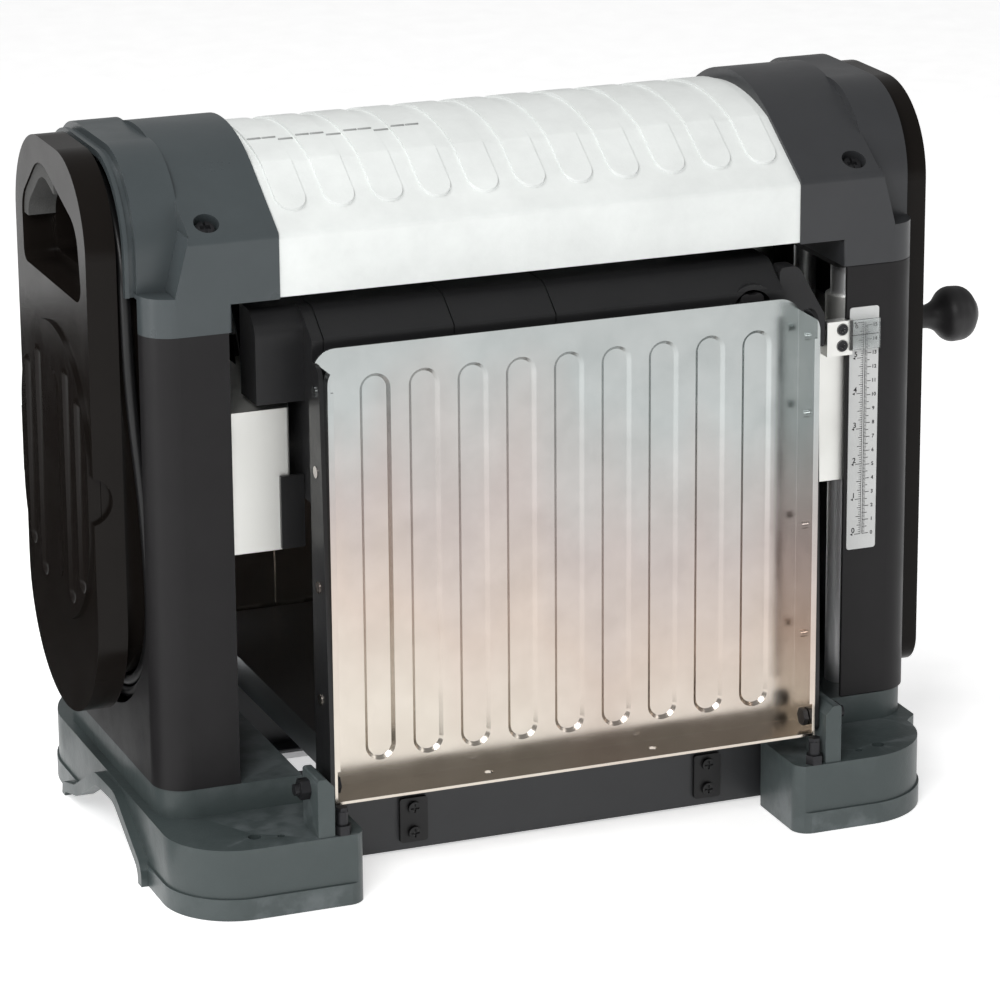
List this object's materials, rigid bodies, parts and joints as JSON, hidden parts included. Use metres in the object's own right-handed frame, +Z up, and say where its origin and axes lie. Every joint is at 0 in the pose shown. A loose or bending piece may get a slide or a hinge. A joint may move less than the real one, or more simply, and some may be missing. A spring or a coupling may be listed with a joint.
{
  "type": "thickness planer",
  "caption": "Benchtop thickness planer with cast feet, side columns, a white ribbed cover, a crank-lifted cutter carriage, side pods and folding feed tables.",
  "frame": {"origin": "on the bench plane under the feet, at the centre of the four bench bolt holes", "axes": "+X towards the crank side, -Y towards the operator, +Z up"},
  "size_m": [0.6897, 0.375, 0.4975],
  "materials": {
    "casting_paint": "dark grey-green paint over a cast surface, satin",
    "black_steel": "satin black paint on sheet steel",
    "zinc_steel": "bright zinc plating with a faint warm tint",
    "ground_steel": "ground and lightly oiled",
    "machine_steel": "black oxide",
    "cast_aluminium": "machined, fine matt",
    "bronze": "machined bearing bronze",
    "white_powder": "white powder coat, faint orange peel",
    "black_gloss": "moulded, glossy with a fine grain",
    "black_plastic": "moulded, fine grain",
    "soft_rubber": "matt, soft",
    "pawl_steel": "hardened, darkened",
    "scale_white": "printed aluminium strip",
    "clear_acrylic": "clear plastic"
  },
  "bodies": {
    "frame": {"base_left": "casting_paint", "base_right": "casting_paint", "bed_brackets": "black_steel", "bed_plate": "ground_steel", "bracket_screws": "black_steel", "cap_screws": "black_steel", "cord_boot": "black_plastic", "crossmembers": "casting_paint", "drive_chain": "zinc_steel", "guide_posts": "ground_steel", "left_column_cover": "black_steel", "left_end_cap": "casting_paint", "left_pod": "black_gloss", "levelling_bolts": "zinc_steel", "lid_hinge_pins": "zinc_steel", "mains_cord": "soft_rubber", "mains_plug": "black_plastic", "pod_grip": "soft_rubber", "right_column_cover": "black_steel", "right_end_cap": "casting_paint", "right_pod": "black_gloss", "scale_plate": "scale_white", "switch_box": "black_plastic", "table_pivot_bolts": "zinc_steel", "top_brackets": "machine_steel", "top_cover": "white_powder"},
    "toolbox_lid": {"toolbox_lid": "black_gloss"},
    "crank": {"crank_arm": "machine_steel", "crank_shaft": "ground_steel", "crank_knob_pin": "ground_steel"},
    "crank_knob": {"crank_knob": "black_plastic"},
    "left_screw": {"left_leadscrew": "ground_steel"},
    "right_screw": {"right_leadscrew": "ground_steel"},
    "carriage": {"right_end_block": "cast_aluminium", "left_end_block": "cast_aluminium", "lifting_nuts": "bronze", "cutter_housing": "cast_aluminium", "roller_bearings": "bronze", "motor_can": "machine_steel", "drive_belt": "soft_rubber", "front_hood": "black_plastic", "rear_hood": "black_plastic", "side_plates": "black_steel", "cursor_bracket": "zinc_steel", "cursor_window": "clear_acrylic"},
    "cutterhead": {"cutter_block": "ground_steel", "knives": "ground_steel"},
    "infeed_roller": {"infeed_roller": "soft_rubber"},
    "outfeed_roller": {"outfeed_roller": "soft_rubber"},
    "motor_rotor": {"motor_rotor": "ground_steel"},
    "kickback_pawls": {"kickback_pawls": "pawl_steel"},
    "hood_knob": {"hood_knob": "black_plastic"},
    "front_table": {"front_table_panel": "zinc_steel", "front_table_arms": "black_steel", "front_table_screws": "zinc_steel"},
    "rear_table": {"rear_table_panel": "zinc_steel", "rear_table_arms": "black_steel", "rear_table_screws": "zinc_steel"},
    "switch_rocker": {"switch_rocker": "black_plastic"}
  },
  "joints": [
    {"name": "crank_turn", "type": "hinge", "parent": "frame", "child": "crank", "pos_m": [0.28, 0, 0.407], "axis": [1, 0, 0], "range_deg": [0, 33335]},
    {"name": "knob_spin", "type": "hinge", "parent": "crank", "child": "crank_knob", "pos_m": [0.33, 0, 0.304], "axis": [1, 0, 0], "continuous": true},
    {"name": "left_screw_turn", "type": "hinge", "parent": "frame", "child": "left_screw", "pos_m": [-0.245, 0, 0.2], "axis": [0, 0, 1], "range_deg": [0, 33335]},
    {"name": "right_screw_turn", "type": "hinge", "parent": "frame", "child": "right_screw", "pos_m": [0.245, 0, 0.2], "axis": [0, 0, 1], "range_deg": [0, 33335]},
    {"name": "head_lift", "type": "slide", "parent": "frame", "child": "carriage", "axis": [0, 0, 1], "range_m": [-0.147, 0]},
    {"name": "cutter_spin", "type": "hinge", "parent": "carriage", "child": "cutterhead", "pos_m": [0, 0, 0.277], "axis": [1, 0, 0], "continuous": true},
    {"name": "motor_spin", "type": "hinge", "parent": "carriage", "child": "motor_rotor", "pos_m": [0, 0.03, 0.352], "axis": [1, 0, 0], "continuous": true},
    {"name": "infeed_spin", "type": "hinge", "parent": "carriage", "child": "infeed_roller", "pos_m": [0, -0.062, 0.2655], "axis": [1, 0, 0], "continuous": true},
    {"name": "outfeed_spin", "type": "hinge", "parent": "carriage", "child": "outfeed_roller", "pos_m": [0, 0.062, 0.2655], "axis": [1, 0, 0], "continuous": true},
    {"name": "pawl_swing", "type": "hinge", "parent": "carriage", "child": "kickback_pawls", "pos_m": [0, -0.102, 0.292], "axis": [1, 0, 0], "range_deg": [0, 22]},
    {"name": "hood_knob_turn", "type": "hinge", "parent": "carriage", "child": "hood_knob", "pos_m": [0.143, -0.12, 0.362], "axis": [0, 1, 0], "range_deg": [0, 90]},
    {"name": "front_table_fold", "type": "hinge", "parent": "frame", "child": "front_table", "pos_m": [0, -0.165, 0.078], "axis": [1, 0, 0], "range_deg": [0, 90]},
    {"name": "rear_table_fold", "type": "hinge", "parent": "frame", "child": "rear_table", "pos_m": [0, 0.165, 0.078], "axis": [-1, 0, 0], "range_deg": [0, 90]},
    {"name": "lid_swing", "type": "hinge", "parent": "frame", "child": "toolbox_lid", "pos_m": [-0.3065, 0.08, 0.27], "axis": [0, 0, 1], "range_deg": [-100, 0]},
    {"name": "rocker_tilt", "type": "hinge", "parent": "frame", "child": "switch_rocker", "pos_m": [0.25, 0.131, 0.32], "axis": [1, 0, 0], "range_deg": [-7, 7]}
  ],
  "couplings": [
    {"joint": "left_screw_turn", "follows": "crank_turn", "ratio": 1},
    {"joint": "right_screw_turn", "follows": "crank_turn", "ratio": 1},
    {"joint": "head_lift", "follows": "crank_turn", "m_per_rad": -0.00025266},
    {"joint": "motor_spin", "follows": "cutter_spin", "ratio": 1.4286},
    {"joint": "infeed_spin", "follows": "cutter_spin", "ratio": -0.05},
    {"joint": "outfeed_spin", "follows": "cutter_spin", "ratio": -0.05}
  ]
}
